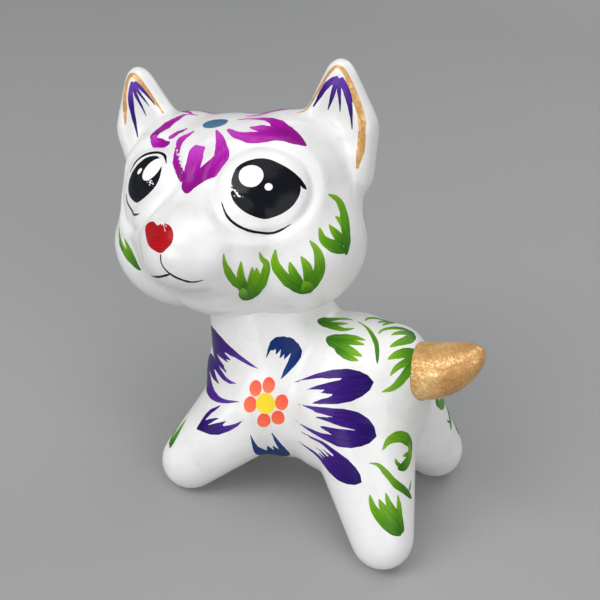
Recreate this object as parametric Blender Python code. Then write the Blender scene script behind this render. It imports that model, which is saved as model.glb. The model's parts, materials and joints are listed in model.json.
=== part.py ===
"""Alebrije kitten: a carved wooden figure, glued up from pegged blocks, with a plug-in tail.

The body stands in profile and faces -X. The head is turned to the kitten's left and faces -Y, and is
cocked a little. +Z is up. Lengths in the tables are in millimetres and are turned into metres by MM.
"""

import bmesh
import bpy
from mathutils import Euler, Matrix, Vector

MM = 0.001

# ---- Driving dimensions, in millimetres ----
# The middle of the stance stands here, so that the whole figure's box is centred on the origin.
STANCE_CENTRE = Vector((18.3, 3.4, 0.0))
STANCE_LENGTH = 60.0  # from front feet to hind feet
STANCE_WIDTH = 45.0  # from left feet to right feet
HIP_SPREAD = (16.0, 10.0)  # where a leg's line starts inside the barrel, along X and Y
HIP_HEIGHT = 28.0
HIP_RADIUS = 14.5
FOOT_RADIUS = 8.8
FOOT_CENTRE_HEIGHT = 7.4  # under the radius, so that the floor cuts a flat sole
LEG_JOINT_SHARE = 0.52  # of the way from hip to foot

HEAD_CENTRE = Vector((-33.7, 0.0, 77.2))  # from the middle of the stance
HEAD_TURN = Euler((-0.096, -0.28, 0.008))  # radians: looks up a little, cocked, turned

TAIL_SEAT = Vector((25.3, 0.0, 48.2))  # from the middle of the stance
TAIL_DIRECTION = Vector((0.951, 0.0, 0.309)).normalized()
TAIL_LENGTH = 18.8
TAIL_RADIUS = 7.9
TAIL_BLUNTNESS = 2.3  # 2 is a paraboloid-like round end, more is blunter
TAIL_BEND = 5.8  # how far the tip curves up
TAIL_STEPS = 12

GAP = 0.3  # between two pieces that touch
VOXEL = 3.2  # the carved surface's grain
SMOOTHING = 3  # passes of sanding

# Peg radius, whole length, and how much of it is in the first of its two pieces.
LEG_PEG = (3.0, 16.0, 8.0)
EAR_PEG = (2.0, 10.0, 5.0)
NECK_PEG = (5.0, 26.0, 13.0)
TAIL_PEG = (3.0, 21.0, 12.0)

# ---- Forms, in millimetres: (centre, radii) of ellipsoids, from the middle of the stance ----
BARREL = [
    ((-12.0, 0.0, 31.0), (24.5, 22.5, 23.5)),
    ((7.0, 0.0, 32.6), (23.0, 22.5, 24.0)),
    ((-12.0, 0.0, 39.0), (17.0, 15.0, 19.0)),
    ((13.0, 0.0, 37.7), (16.5, 18.0, 19.0)),
    ((16.5, 0.0, 46.0), (11.5, 14.0, 11.8)),
]
NECK = [
    ((-13.0, 0.0, 34.0), (21.0, 21.0, 21.0)),
    ((-24.0, 0.0, 58.0), (15.5, 15.5, 15.5)),
]
NECK_SEAT = (-22.7, 0.0, 55.0)
NECK_SEAT_RADIUS = 15.0

# ---- Forms of the head, in its own frame: the face looks along -Y ----
CRANIUM = [
    ((-0.2, 1.5, 1.5), (35.4, 25.0, 25.5)),
    ((0.0, -14.0, -2.5), (23.0, 18.0, 17.0)),
    ((0.0, -22.5, -1.5), (15.0, 15.4, 12.5)),
    ((0.0, -5.0, -12.0), (21.0, 20.0, 15.0)),
]
HALF_CRANIUM = [
    ((15.0, 3.5, 9.0), (18.8, 19.5, 18.5)),
    ((15.0, -1.5, -7.0), (21.8, 21.5, 19.5)),
]
EAR = [
    ((22.0, 6.5, 19.0), (5.5, 5.5, 5.5)),
    ((32.6, 7.5, 9.0), (5.0, 5.5, 5.5)),
    ((35.1, 7.0, 22.0), (5.5, 5.0, 5.5)),
    ((31.0, 7.0, 36.2), (4.0, 4.0, 4.0)),
]
EAR_SCOOP = ((29.5, -0.5, 23.0), (8.0, 5.5, 12.5))
EAR_JOINT = (28.5, 7.5, 16.5)
EAR_DIRECTION = (0.6, 0.0, 0.8)

# Each leg's side of the stance, and each ear's side of the head.
LEGS = {
    "front_left_leg": (-1, -1),
    "front_right_leg": (-1, 1),
    "hind_left_leg": (1, -1),
    "hind_right_leg": (1, 1),
}
EARS = {"left_ear": 1, "right_ear": -1}
HEAD_PLACE = Matrix.Translation((STANCE_CENTRE + HEAD_CENTRE) * MM) @ HEAD_TURN.to_matrix().to_4x4()

WHITE = (0.90, 0.89, 0.86, 1.0)
GOLD = (0.55, 0.36, 0.16, 1.0)
WOOD = (0.72, 0.55, 0.36, 1.0)


def material(name, colour, roughness, metallic=0.0):
    made = bpy.data.materials.new(name)
    made.use_nodes = True
    shader = made.node_tree.nodes["Principled BSDF"]
    shader.inputs["Base Color"].default_value = colour
    shader.inputs["Roughness"].default_value = roughness
    shader.inputs["Metallic"].default_value = metallic
    return made


def new_object(name, mesh, hidden=False):
    made = bpy.data.objects.new(name, mesh)
    bpy.context.scene.collection.objects.link(made)
    if hidden:
        made.hide_render = True
        made.display_type = "WIRE"
    return made


def mesh_from(bm, name):
    bmesh.ops.recalc_face_normals(bm, faces=bm.faces)
    mesh = bpy.data.meshes.new(name)
    bm.to_mesh(mesh)
    bm.free()
    return mesh


def add_ellipsoid(bm, centre, radii):
    """An ellipsoid, in metres, added to bm."""
    place = Matrix.LocRotScale(Vector(centre) * MM, Euler(), Vector(radii) * MM)
    bmesh.ops.create_uvsphere(bm, u_segments=48, v_segments=24, radius=1.0, matrix=place)


def add_hull(bm, balls):
    """The smooth form that wraps round all of these (centre, radii) ellipsoids."""
    hull = bmesh.new()
    for centre, radii in balls:
        add_ellipsoid(hull, centre, radii)
    found = bmesh.ops.convex_hull(hull, input=hull.verts)
    bmesh.ops.delete(hull, geom=found["geom_interior"] + found["geom_unused"], context="VERTS")
    piece = mesh_from(hull, "hull")
    bm.from_mesh(piece)
    bpy.data.meshes.remove(piece)


def carved(name, bm):
    """The forms in bm run together and sanded, as a hidden object that the pieces are cut from."""
    blank = new_object(name, mesh_from(bm, name), hidden=True)
    remesh = blank.modifiers.new("carve", "REMESH")
    remesh.mode = "VOXEL"
    remesh.voxel_size = VOXEL * MM
    sand = blank.modifiers.new("sand", "SMOOTH")
    sand.factor = 0.5
    sand.iterations = SMOOTHING
    return blank


def evaluated_mesh(source):
    bpy.context.view_layer.update()
    graph = bpy.context.evaluated_depsgraph_get()
    return bpy.data.meshes.new_from_object(source.evaluated_get(graph))


def boolean(target, tool, operation):
    """Cuts target with tool, and keeps the result as target's own mesh."""
    cut = target.modifiers.new(operation.lower(), "BOOLEAN")
    cut.operation = operation
    cut.solver = "EXACT"
    cut.object = tool
    result = evaluated_mesh(target)
    target.modifiers.clear()
    target.data = result


def along(direction):
    """The rotation that turns +Z to direction."""
    return Vector(direction).to_track_quat("Z", "Y").to_matrix().to_4x4()


def half_space(name, point, direction, size=40.0):
    """A box whose face passes through point, and which fills the side that direction points to."""
    bm = bmesh.new()
    bmesh.ops.create_cube(bm, size=size * MM, matrix=Matrix.Translation((0, 0, size / 2 * MM)))
    box = new_object(name, mesh_from(bm, name), hidden=True)
    box.matrix_world = Matrix.Translation(Vector(point) * MM) @ along(direction)
    return box


def rod(name, point, direction, radius, back, ahead, hidden=False):
    """A round rod through point, reaching back behind it and ahead of it along direction."""
    bm = bmesh.new()
    length = back + ahead
    bmesh.ops.create_cone(
        bm,
        cap_ends=True,
        segments=24,
        radius1=radius * MM,
        radius2=radius * MM,
        depth=length * MM,
        matrix=Matrix.Translation((0, 0, (length / 2 - back) * MM)),
    )
    made = new_object(name, mesh_from(bm, name), hidden)
    made.matrix_world = Matrix.Translation(Vector(point) * MM) @ along(direction)
    return made


def piece_of(name, blank, tool, keep_inside, finish):
    """The part of the blank inside or outside the tool, as a node."""
    piece = new_object(name, evaluated_mesh(blank))
    piece.matrix_world = blank.matrix_world
    boolean(piece, tool, "INTERSECT" if keep_inside else "DIFFERENCE")
    piece.data.materials.clear()
    piece.data.materials.append(finish)
    piece.data.shade_smooth()
    return piece


def peg(name, first, second, point, direction, size, finish):
    """A peg across a joint at point, with its two sockets. direction runs from first to second."""
    radius, length, in_first = size
    socket = rod(
        name + "_socket", point, direction, radius + GAP, in_first + GAP, length - in_first + GAP, True
    )
    for piece in (first, second):
        boolean(piece, socket, "DIFFERENCE")
    made = rod(name, point, direction, radius, in_first, length - in_first)
    made.data.materials.append(finish)
    made.data.shade_smooth()
    made.data.set_sharp_from_angle(angle=0.8)
    return made


def leg_line(side):
    """The hip and foot centres of the leg on this side."""
    x, y = side
    hip = STANCE_CENTRE + Vector((x * HIP_SPREAD[0], y * HIP_SPREAD[1], HIP_HEIGHT))
    foot = STANCE_CENTRE + Vector((x * STANCE_LENGTH / 2, y * STANCE_WIDTH / 2, FOOT_CENTRE_HEIGHT))
    return hip, foot


def body_blank():
    """Barrel, neck and legs run together, with flat soles."""
    bm = bmesh.new()
    for centre, radii in BARREL:
        add_ellipsoid(bm, STANCE_CENTRE + Vector(centre), radii)
    add_hull(bm, [(STANCE_CENTRE + Vector(centre), radii) for centre, radii in NECK])
    for side in LEGS.values():
        hip, foot = leg_line(side)
        add_hull(bm, [(hip, (HIP_RADIUS,) * 3), (foot, (FOOT_RADIUS,) * 3)])
    blank = carved("body_blank", bm)
    boolean(blank, half_space("floor", (0, 0, 0), (0, 0, 1), 300.0), "INTERSECT")
    return blank


def mirrored(point, side):
    return Vector((point[0] * side, point[1], point[2]))


def add_ear(bm, side):
    """A flat rounded horn whose front is hollowed with a gouge."""
    horn_bm = bmesh.new()
    add_hull(horn_bm, [(mirrored(centre, side), radii) for centre, radii in EAR])
    horn = new_object("horn", mesh_from(horn_bm, "horn"), hidden=True)
    gouge_bm = bmesh.new()
    add_ellipsoid(gouge_bm, mirrored(EAR_SCOOP[0], side), EAR_SCOOP[1])
    gouge = new_object("gouge", mesh_from(gouge_bm, "gouge"), hidden=True)
    boolean(horn, gouge, "DIFFERENCE")
    bm.from_mesh(horn.data)
    bpy.data.objects.remove(horn)
    bpy.data.objects.remove(gouge)


def head_blank():
    """Cranium, cheeks, muzzle and ears run together, in place on the neck."""
    bm = bmesh.new()
    for centre, radii in CRANIUM:
        add_ellipsoid(bm, centre, radii)
    for side in EARS.values():
        for centre, radii in HALF_CRANIUM:
            add_ellipsoid(bm, mirrored(centre, side), radii)
        add_ear(bm, side)
    blank = carved("head_blank", bm)
    blank.matrix_world = HEAD_PLACE
    return blank


def cut_legs(body, torso, white, wood):
    """Saws each leg off square to its own line, and pegs it back."""
    for name, side in LEGS.items():
        hip, foot = leg_line(side)
        direction = (foot - hip).normalized()
        joint = hip.lerp(foot, LEG_JOINT_SHARE)
        leg_side = half_space(name + "_side", joint + direction * GAP / 2, direction)
        hip_side = half_space(name + "_face", joint - direction * GAP / 2, direction)
        leg = piece_of(name, body, leg_side, True, white)
        boolean(torso, hip_side, "DIFFERENCE")
        peg(name + "_peg", torso, leg, joint, direction, LEG_PEG, wood)


def cut_ears(blank, head, white, wood):
    """Saws each ear off, and pegs it back."""
    for name, side in EARS.items():
        joint = HEAD_PLACE @ (mirrored(EAR_JOINT, side) * MM) / MM
        direction = HEAD_TURN.to_matrix() @ mirrored(EAR_DIRECTION, side)
        ear_side = half_space(name + "_side", joint + direction * GAP / 2, direction)
        head_side = half_space(name + "_face", joint - direction * GAP / 2, direction)
        ear = piece_of(name, blank, ear_side, True, white)
        boolean(head, head_side, "DIFFERENCE")
        peg(name + "_peg", head, ear, joint, direction, EAR_PEG, wood)


def seat_head(blank, torso, head, wood):
    """Lets the round top of the neck into the underside of the head, and pegs the two."""
    direction = (Vector(NECK[1][0]) - Vector(NECK[0][0])).normalized()
    seat = STANCE_CENTRE + Vector(NECK_SEAT)
    around = new_object("around_neck", evaluated_mesh(blank), hidden=True)
    around.matrix_world = blank.matrix_world
    grow = around.modifiers.new("grow", "DISPLACE")
    grow.strength = GAP * MM
    grow.mid_level = 0.0
    spigot = rod("spigot", seat, direction, NECK_SEAT_RADIUS, 30.0, -GAP, hidden=True)
    recess = rod("recess", seat, direction, NECK_SEAT_RADIUS + GAP, 30.0, 0.0, hidden=True)
    boolean(around, spigot, "DIFFERENCE")
    boolean(torso, around, "DIFFERENCE")
    boolean(head, recess, "DIFFERENCE")
    peg("neck_peg", torso, head, seat, direction, NECK_PEG, wood)


def turned_tail(gold):
    """A bullet-shaped tail on its own axis, curving up a little, with its base on the seat."""
    bm = bmesh.new()
    profile = [bm.verts.new((0.0, 0.0, 0.0))]
    for step in range(TAIL_STEPS + 1):
        share = step / TAIL_STEPS
        radius = TAIL_RADIUS * (1.0 - share**TAIL_BLUNTNESS) ** 0.5
        profile.append(bm.verts.new((radius * MM, 0.0, share * TAIL_LENGTH * MM)))
    edges = [bm.edges.new(pair) for pair in zip(profile, profile[1:])]
    bmesh.ops.spin(
        bm, geom=profile + edges, cent=(0, 0, 0), axis=(0, 0, 1), angle=6.283185307, steps=32
    )
    bmesh.ops.remove_doubles(bm, verts=bm.verts, dist=1e-6)
    for vert in bm.verts:
        vert.co.x += TAIL_BEND * MM * (vert.co.z / (TAIL_LENGTH * MM)) ** 2
    tail = new_object("tail", mesh_from(bm, "tail"))
    base = STANCE_CENTRE + TAIL_SEAT + TAIL_DIRECTION * GAP
    upright = TAIL_DIRECTION.to_track_quat("Z", "X").to_matrix().to_4x4()
    tail.matrix_world = Matrix.Translation(base * MM) @ upright
    tail.data.materials.append(gold)
    tail.data.shade_smooth()
    tail.data.set_sharp_from_angle(angle=0.8)
    return tail


def main():
    for old in list(bpy.data.objects):
        bpy.data.objects.remove(old)
    white = material("white_paint", WHITE, 0.25)
    gold = material("gold_paint", GOLD, 0.35, 0.6)
    wood = material("bare_wood", WOOD, 0.8)

    body = body_blank()
    torso = new_object("torso", evaluated_mesh(body))
    torso.data.materials.append(white)
    cut_legs(body, torso, white, wood)

    blank = head_blank()
    head = new_object("head", evaluated_mesh(blank))
    head.matrix_world = HEAD_PLACE
    head.data.materials.append(white)
    cut_ears(blank, head, white, wood)
    seat_head(blank, torso, head, wood)

    seat = STANCE_CENTRE + TAIL_SEAT
    spot_face = rod("tail_seat", seat, TAIL_DIRECTION, TAIL_RADIUS + 2 * GAP, 0.0, 12.0, hidden=True)
    boolean(torso, spot_face, "DIFFERENCE")
    tail = turned_tail(gold)
    peg("tail_peg", torso, tail, seat, TAIL_DIRECTION, TAIL_PEG, wood)
    for piece in (torso, head):
        piece.data.shade_smooth()


main()
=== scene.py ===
"""Alebrije kitten: the sanded and painted surface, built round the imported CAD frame.

The skins repeat part.py's forms at a finer grain, with the face carved into them. Each piece of the
carving keeps its own mesh, cut at the same joints as the CAD pieces. The painted flowers, leaves and
features are thin closed films of paint that lie on the skins.
"""

import json
import math

import bmesh
import bpy
from mathutils import Euler, Matrix, Vector
from mathutils import noise as wobble
from mathutils.bvhtree import BVHTree


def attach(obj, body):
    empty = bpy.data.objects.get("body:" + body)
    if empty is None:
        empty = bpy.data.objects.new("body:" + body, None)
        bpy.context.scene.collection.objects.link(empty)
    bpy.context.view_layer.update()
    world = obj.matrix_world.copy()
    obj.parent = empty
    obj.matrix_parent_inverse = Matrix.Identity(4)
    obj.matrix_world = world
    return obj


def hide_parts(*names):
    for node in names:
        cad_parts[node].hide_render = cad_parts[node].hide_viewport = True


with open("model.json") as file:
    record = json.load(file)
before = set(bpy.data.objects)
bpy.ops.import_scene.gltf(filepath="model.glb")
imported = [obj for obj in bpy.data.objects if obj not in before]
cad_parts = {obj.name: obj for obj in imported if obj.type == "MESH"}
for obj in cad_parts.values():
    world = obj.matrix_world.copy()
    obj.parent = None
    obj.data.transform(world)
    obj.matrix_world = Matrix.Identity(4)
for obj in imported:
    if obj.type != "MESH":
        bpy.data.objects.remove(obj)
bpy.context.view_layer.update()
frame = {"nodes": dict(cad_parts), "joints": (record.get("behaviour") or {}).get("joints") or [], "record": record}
MM = 0.001
FIGURE = "figure"

# ---- Places, from the frame ----
soles = [Vector(mount["pos_m"]) for mount in frame["record"]["mounts"]]
STANCE_CENTRE = sum(soles, Vector()) / len(soles) / MM
joints = {joint["name"]: joint for joint in frame["joints"]}
TAIL_DIRECTION = Vector(joints["tail_turn"]["axis"]).normalized()
TAIL_TURN = TAIL_DIRECTION.to_track_quat("Z", "X").to_matrix().to_4x4()
TAIL_SEAT = Vector(joints["tail_turn"]["pos_m"]) / MM

# ---- Forms, in millimetres, as part.py has them ----
FOOT_PLACE = (30.0, 22.5)
HIP_SPREAD = (16.0, 10.0)
HIP_HEIGHT = 28.0
HIP_RADIUS = 14.5
FOOT_RADIUS = 8.8
FOOT_CENTRE_HEIGHT = 7.4
LEG_JOINT_SHARE = 0.52
HEAD_CENTRE = Vector((-33.7, 0.0, 77.2))
HEAD_TURN = Euler((-0.096, -0.28, 0.008))
HEAD_PLACE = Matrix.Translation(STANCE_CENTRE + HEAD_CENTRE) @ HEAD_TURN.to_matrix().to_4x4()
BARREL = [
    ((-12, 0, 31), (24.5, 22.5, 23.5)),
    ((7, 0, 32.6), (23, 22.5, 24)),
    ((-12, 0, 39), (17, 15, 19)),
    ((13, 0, 37.7), (16.5, 18, 19)),
    ((16.5, 0, 46), (11.5, 14, 11.8)),
]
NECK = [
    ((-13, 0, 34), (21, 21, 21)),
    ((-24, 0, 58), (15.5, 15.5, 15.5)),
]
CRANIUM = [
    ((-0.2, 1.5, 1.5), (35.4, 25, 25.5)),
    ((0, -14, -2.5), (23, 18, 17)),
    ((0, -22.5, -1.5), (15, 15.4, 12.5)),
    ((0, -5, -12), (21, 20, 15)),
]
HALF_CRANIUM = [
    ((15, 3.5, 9), (18.8, 19.5, 18.5)),
    ((15, -1.5, -7), (21.8, 21.5, 19.5)),
]
EAR = [
    ((22, 6.5, 19), (5.5, 5.5, 5.5)),
    ((32.6, 7.5, 9), (5, 5.5, 5.5)),
    ((35.1, 7, 22), (5.5, 5, 5.5)),
    ((31, 7, 36.2), (4, 4, 4)),
]
EAR_SCOOP = ((29.5, -0.5, 23), (8, 5.5, 12.5))
EAR_JOINT = (28.5, 7.5, 16.5)
EAR_DIRECTION = (0.6, 0, 0.8)
LEGS = {
    "front_left_leg": (-1, -1),
    "front_right_leg": (-1, 1),
    "hind_left_leg": (1, -1),
    "hind_right_leg": (1, 1),
}
EARS = {"left_ear": 1, "right_ear": -1}
TAIL_LENGTH = 18.8
TAIL_RADIUS = 7.9
TAIL_BLUNTNESS = 2.3
TAIL_BEND = 5.8
TAIL_ROOM = (TAIL_RADIUS + 0.15, 0.0, 12.0)  # a round cut: its radius, and how far it goes back and ahead
PEG_HOLE = (3.3, 12.3, 5.0)
TAIL_GAP = 0.05

GRAIN = 0.7  # the skins' mesh size
SANDING = 3.2**2 * 3  # as much smoothing as the CAD forms have, in square millimetres


def new_object(name, mesh):
    made = bpy.data.objects.new(name, mesh)
    bpy.context.scene.collection.objects.link(made)
    return made


def add_ellipsoid(bm, centre, radii):
    place = Matrix.LocRotScale(Vector(centre), Euler(), Vector(radii))
    bmesh.ops.create_uvsphere(bm, u_segments=64, v_segments=32, radius=1.0, matrix=place)


def mesh_from(bm, name):
    bmesh.ops.recalc_face_normals(bm, faces=bm.faces)
    mesh = bpy.data.meshes.new(name)
    bm.to_mesh(mesh)
    bm.free()
    return mesh


def add_hull(bm, balls):
    """The smooth form that wraps round all of these (centre, radii) ellipsoids."""
    hull = bmesh.new()
    for centre, radii in balls:
        add_ellipsoid(hull, centre, radii)
    found = bmesh.ops.convex_hull(hull, input=hull.verts)
    bmesh.ops.delete(hull, geom=found["geom_interior"] + found["geom_unused"], context="VERTS")
    piece = mesh_from(hull, "hull")
    bm.from_mesh(piece)
    bpy.data.meshes.remove(piece)


def evaluated_mesh(source):
    bpy.context.view_layer.update()
    graph = bpy.context.evaluated_depsgraph_get()
    return bpy.data.meshes.new_from_object(source.evaluated_get(graph))


def applied(source):
    """The object's modifiers applied to its mesh."""
    result = evaluated_mesh(source)
    source.modifiers.clear()
    source.data = result


def carved(name, bm):
    """The forms in bm run together and sanded. Still in millimetres."""
    blank = new_object(name, mesh_from(bm, name))
    remesh = blank.modifiers.new("carve", "REMESH")
    remesh.mode = "VOXEL"
    remesh.voxel_size = GRAIN
    sand = blank.modifiers.new("sand", "SMOOTH")
    sand.factor = 0.5
    sand.iterations = round(SANDING / GRAIN**2)
    applied(blank)
    return blank


def boolean(target, tool, operation):
    cut = target.modifiers.new("cut", "BOOLEAN")
    cut.operation = operation
    cut.solver = "EXACT"
    cut.object = tool
    applied(target)


def cut_away(target, tool):
    """Cuts the tool's shape out of the target. The tool is used up."""
    boolean(target, tool, "DIFFERENCE")
    bpy.data.objects.remove(tool)


def mirrored(point, side):
    return Vector((point[0] * side, point[1], point[2]))


def leg_line(side):
    x, y = side
    hip = STANCE_CENTRE + Vector((x * HIP_SPREAD[0], y * HIP_SPREAD[1], HIP_HEIGHT))
    foot = STANCE_CENTRE + Vector((x * FOOT_PLACE[0], y * FOOT_PLACE[1], FOOT_CENTRE_HEIGHT))
    return hip, foot


def body_blank():
    bm = bmesh.new()
    for centre, radii in BARREL:
        add_ellipsoid(bm, STANCE_CENTRE + Vector(centre), radii)
    add_hull(bm, [(STANCE_CENTRE + Vector(centre), radii) for centre, radii in NECK])
    for side in LEGS.values():
        hip, foot = leg_line(side)
        add_hull(bm, [(hip, (HIP_RADIUS,) * 3), (foot, (FOOT_RADIUS,) * 3)])
    return carved("body_blank", bm)


def add_ear(bm, side):
    """A horn, hollowed in front with a gouge."""
    horn_bm = bmesh.new()
    add_hull(horn_bm, [(mirrored(centre, side), radii) for centre, radii in EAR])
    horn = new_object("horn", mesh_from(horn_bm, "horn"))
    gouge_bm = bmesh.new()
    add_ellipsoid(gouge_bm, mirrored(EAR_SCOOP[0], side), EAR_SCOOP[1])
    cut_away(horn, new_object("gouge", mesh_from(gouge_bm, "gouge")))
    bm.from_mesh(horn.data)
    bpy.data.objects.remove(horn)


def head_blank():
    bm = bmesh.new()
    for centre, radii in CRANIUM:
        add_ellipsoid(bm, centre, radii)
    for side in EARS.values():
        for centre, radii in HALF_CRANIUM:
            add_ellipsoid(bm, mirrored(centre, side), radii)
        add_ear(bm, side)
    return carved("head_blank", bm)


# ---- The carved face, in the head's own frame ----
EYE_CENTRE = Vector((18.5, -18.5, 11.5))
EYE_LOOK = Vector((0.42, -0.90, 0.10)).normalized()
EYE_HALF = (12.3, 10.3)  # half width and half height of the eyeball in its lids
EYE_TILT = -0.10


def bump(value, centre, width):
    return math.exp(-(((value - centre) / width) ** 2))


def smoothstep(low, high, value):
    share = min(1.0, max(0.0, (value - low) / (high - low)))
    return share * share * (3.0 - 2.0 * share)


def eye_axes(side):
    """The eye's rightward and upward axes as seen from in front, in the head's frame."""
    look = mirrored(EYE_LOOK, side)
    across = Vector((0.0, 0.0, 1.0)).cross(look).normalized() * -1.0
    up = across.cross(look).normalized()
    if up.z < 0:
        up = -up
    turn = Matrix.Rotation(EYE_TILT * side, 3, look)
    return turn @ across, turn @ up, look


def eye_relief(point, side):
    """How far the eyeball, its crease and its lids stand out of the face here."""
    across, up, look = eye_axes(side)
    offset = point - mirrored(EYE_CENTRE, side)
    if offset.dot(look) < -12.0:
        return 0.0
    ring = math.hypot(offset.dot(across) / EYE_HALF[0], offset.dot(up) / EYE_HALF[1])
    if ring > 2.2:
        return 0.0
    above = smoothstep(-0.3, 0.6, offset.dot(up) / EYE_HALF[1])
    ball = 1.5 * max(0.0, 1.0 - ring * ring) ** 0.8
    crease = -0.75 * bump(ring, 1.04, 0.10)
    lid = (0.15 + 0.30 * above) * bump(ring, 1.26, 0.15)
    hollow = -0.5 * bump(ring, 1.6, 0.3) * (1.0 - 0.5 * above)
    return ball + crease + lid + hollow


def carve_face(blank):
    mesh = blank.data
    moves = []
    for vert in mesh.vertices:
        point = vert.co
        depth = eye_relief(point, 1 if point.x > 0 else -1) if point.y < 2.0 else 0.0
        moves.append(vert.normal * depth)
    for vert, move in zip(mesh.vertices, moves):
        vert.co += move


class Skin:
    """The finished surface of a blank, in millimetres: where paint lies and which way it faces."""

    def __init__(self, mesh):
        mesh.calc_loop_triangles()
        self.points = [vert.co.copy() for vert in mesh.vertices]
        self.normals = [vert.normal.copy() for vert in mesh.vertices]
        self.faces = [tuple(tri.vertices) for tri in mesh.loop_triangles]
        self.tree = BVHTree.FromPolygons(self.points, self.faces)

    def snap(self, point):
        """The nearest point of the skin, and its smooth normal."""
        found, normal, index, _ = self.tree.find_nearest(point)
        return found, self.normal_at(found, index)

    def shot(self, start, direction):
        """Where a straight line from outside meets the skin."""
        found, normal, index, _ = self.tree.ray_cast(start, direction)
        return found

    def normal_at(self, point, index):
        corners = self.faces[index]
        a, b, c = (self.points[i] for i in corners)
        full = (b - a).cross(c - a)
        area = full.length_squared
        if area < 1e-12:
            return self.normals[corners[0]]
        u = (c - b).cross(point - b).dot(full) / area
        v = (a - c).cross(point - c).dot(full) / area
        mix = self.normals[corners[0]] * u + self.normals[corners[1]] * v
        return (mix + self.normals[corners[2]] * (1.0 - u - v)).normalized()


def half_space(point, direction, size=40.0):
    bm = bmesh.new()
    bmesh.ops.create_cube(bm, size=size, matrix=Matrix.Translation((0, 0, size / 2)))
    box = new_object("half_space", mesh_from(bm, "half_space"))
    turn = Vector(direction).to_track_quat("Z", "Y").to_matrix().to_4x4()
    box.matrix_world = Matrix.Translation(Vector(point)) @ turn
    return box


def finished(piece, skin, material, node):
    """Takes the piece to metres, shades it like the uncut skin, and puts it in its CAD node's place."""
    mesh = piece.data
    normals = []
    for vert in mesh.vertices:
        found, normal, index, distance = skin.tree.find_nearest(vert.co)
        normals.append(skin.normal_at(found, index) if distance < 0.02 else vert.normal.copy())
    mesh.transform(Matrix.Scale(MM, 4))
    mesh.shade_smooth()
    mesh.normals_split_custom_set_from_vertices(normals)
    mesh.materials.clear()
    mesh.materials.append(material)
    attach(piece, FIGURE)
    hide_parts(node)


def cut_piece(name, blank, box):
    """The part of the blank that is inside the box."""
    piece = new_object(name, blank.data.copy())
    boolean(piece, box, "INTERSECT")
    return piece


# ---- Materials ----
def new_material(name, colour, roughness, coat=0.0, metallic=0.0, specular=0.5):
    made = bpy.data.materials.new(name)
    made.use_nodes = True
    shader = made.node_tree.nodes["Principled BSDF"]
    shader.inputs["Base Color"].default_value = (*colour, 1.0)
    shader.inputs["Roughness"].default_value = roughness
    shader.inputs["Coat Weight"].default_value = coat
    shader.inputs["Coat Roughness"].default_value = 0.06
    shader.inputs["Metallic"].default_value = metallic
    shader.inputs["Specular IOR Level"].default_value = specular
    return made, made.node_tree, shader


def grey(value):
    return (value, value, value)


def noise(tree, scale, detail=3.0, roughness=0.5, vector=None):
    node = tree.nodes.new("ShaderNodeTexNoise")
    node.inputs["Scale"].default_value = scale
    node.inputs["Detail"].default_value = detail
    node.inputs["Roughness"].default_value = roughness
    if vector:
        tree.links.new(vector, node.inputs["Vector"])
    return node.outputs["Fac"]


def ramp(tree, factor, stops):
    """Colours by position. stops are (position, colour)."""
    node = tree.nodes.new("ShaderNodeValToRGB")
    elements = node.color_ramp.elements
    while len(elements) < len(stops):
        elements.new(0.5)
    for element, (position, colour) in zip(elements, stops):
        element.position = position
        element.color = (*colour, 1.0)
    tree.links.new(factor, node.inputs["Fac"])
    return node.outputs["Color"]


def mixed(tree, factor, first, second, blend="MIX"):
    node = tree.nodes.new("ShaderNodeMix")
    node.data_type = "RGBA"
    node.blend_type = blend
    for socket, value in ((node.inputs[0], factor), (node.inputs[6], first), (node.inputs[7], second)):
        if isinstance(value, (float, int)):
            socket.default_value = value
        elif isinstance(value, tuple):
            socket.default_value = (*value, 1.0)
        else:
            tree.links.new(value, socket)
    return node.outputs[2]


def add_bump(tree, shader, height, distance, strength=1.0):
    node = tree.nodes.new("ShaderNodeBump")
    node.inputs["Strength"].default_value = strength
    node.inputs["Distance"].default_value = distance
    tree.links.new(height, node.inputs["Height"])
    tree.links.new(node.outputs["Normal"], shader.inputs["Normal"])


def object_coordinates(tree):
    return tree.nodes.new("ShaderNodeTexCoord").outputs["Object"]


def white_paint():
    """White acrylic over gesso, brushed by hand: faint warm and cool clouds under a clear varnish."""
    made, tree, shader = new_material("white_paint", (0.86, 0.86, 0.83), 0.38, coat=0.35)
    place = object_coordinates(tree)
    clouds = noise(tree, 38.0, 4.0, 0.6, place)
    tone = ramp(
        tree,
        clouds,
        [(0.36, (0.79, 0.785, 0.765)), (0.50, (0.875, 0.875, 0.86)), (0.66, (0.90, 0.90, 0.885))],
    )
    specks = ramp(tree, noise(tree, 420.0, 2.0, 0.5, place), [(0.30, (0.93, 0.93, 0.92)), (0.42, grey(1.0))])
    tree.links.new(mixed(tree, 0.6, tone, specks, "MULTIPLY"), shader.inputs["Base Color"])
    sheen = ramp(tree, noise(tree, 90.0, 3.0, 0.6, place), [(0.35, grey(0.30)), (0.65, grey(0.46))])
    tree.links.new(sheen, shader.inputs["Roughness"])
    add_bump(tree, shader, noise(tree, 260.0, 3.0, 0.55, place), 0.00006, 0.6)
    return made


def bare_wood():
    made, tree, shader = new_material("whittled_wood", (0.72, 0.55, 0.36), 0.75)
    place = object_coordinates(tree)
    stretch = tree.nodes.new("ShaderNodeMapping")
    stretch.inputs["Scale"].default_value = (1.0, 6.0, 1.0)
    tree.links.new(place, stretch.inputs["Vector"])
    grain = noise(tree, 260.0, 5.0, 0.6, stretch.outputs["Vector"])
    tone = ramp(tree, grain, [(0.3, (0.50, 0.34, 0.19)), (0.6, (0.74, 0.57, 0.37))])
    tree.links.new(tone, shader.inputs["Base Color"])
    add_bump(tree, shader, grain, 0.0001, 0.6)
    return made


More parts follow.
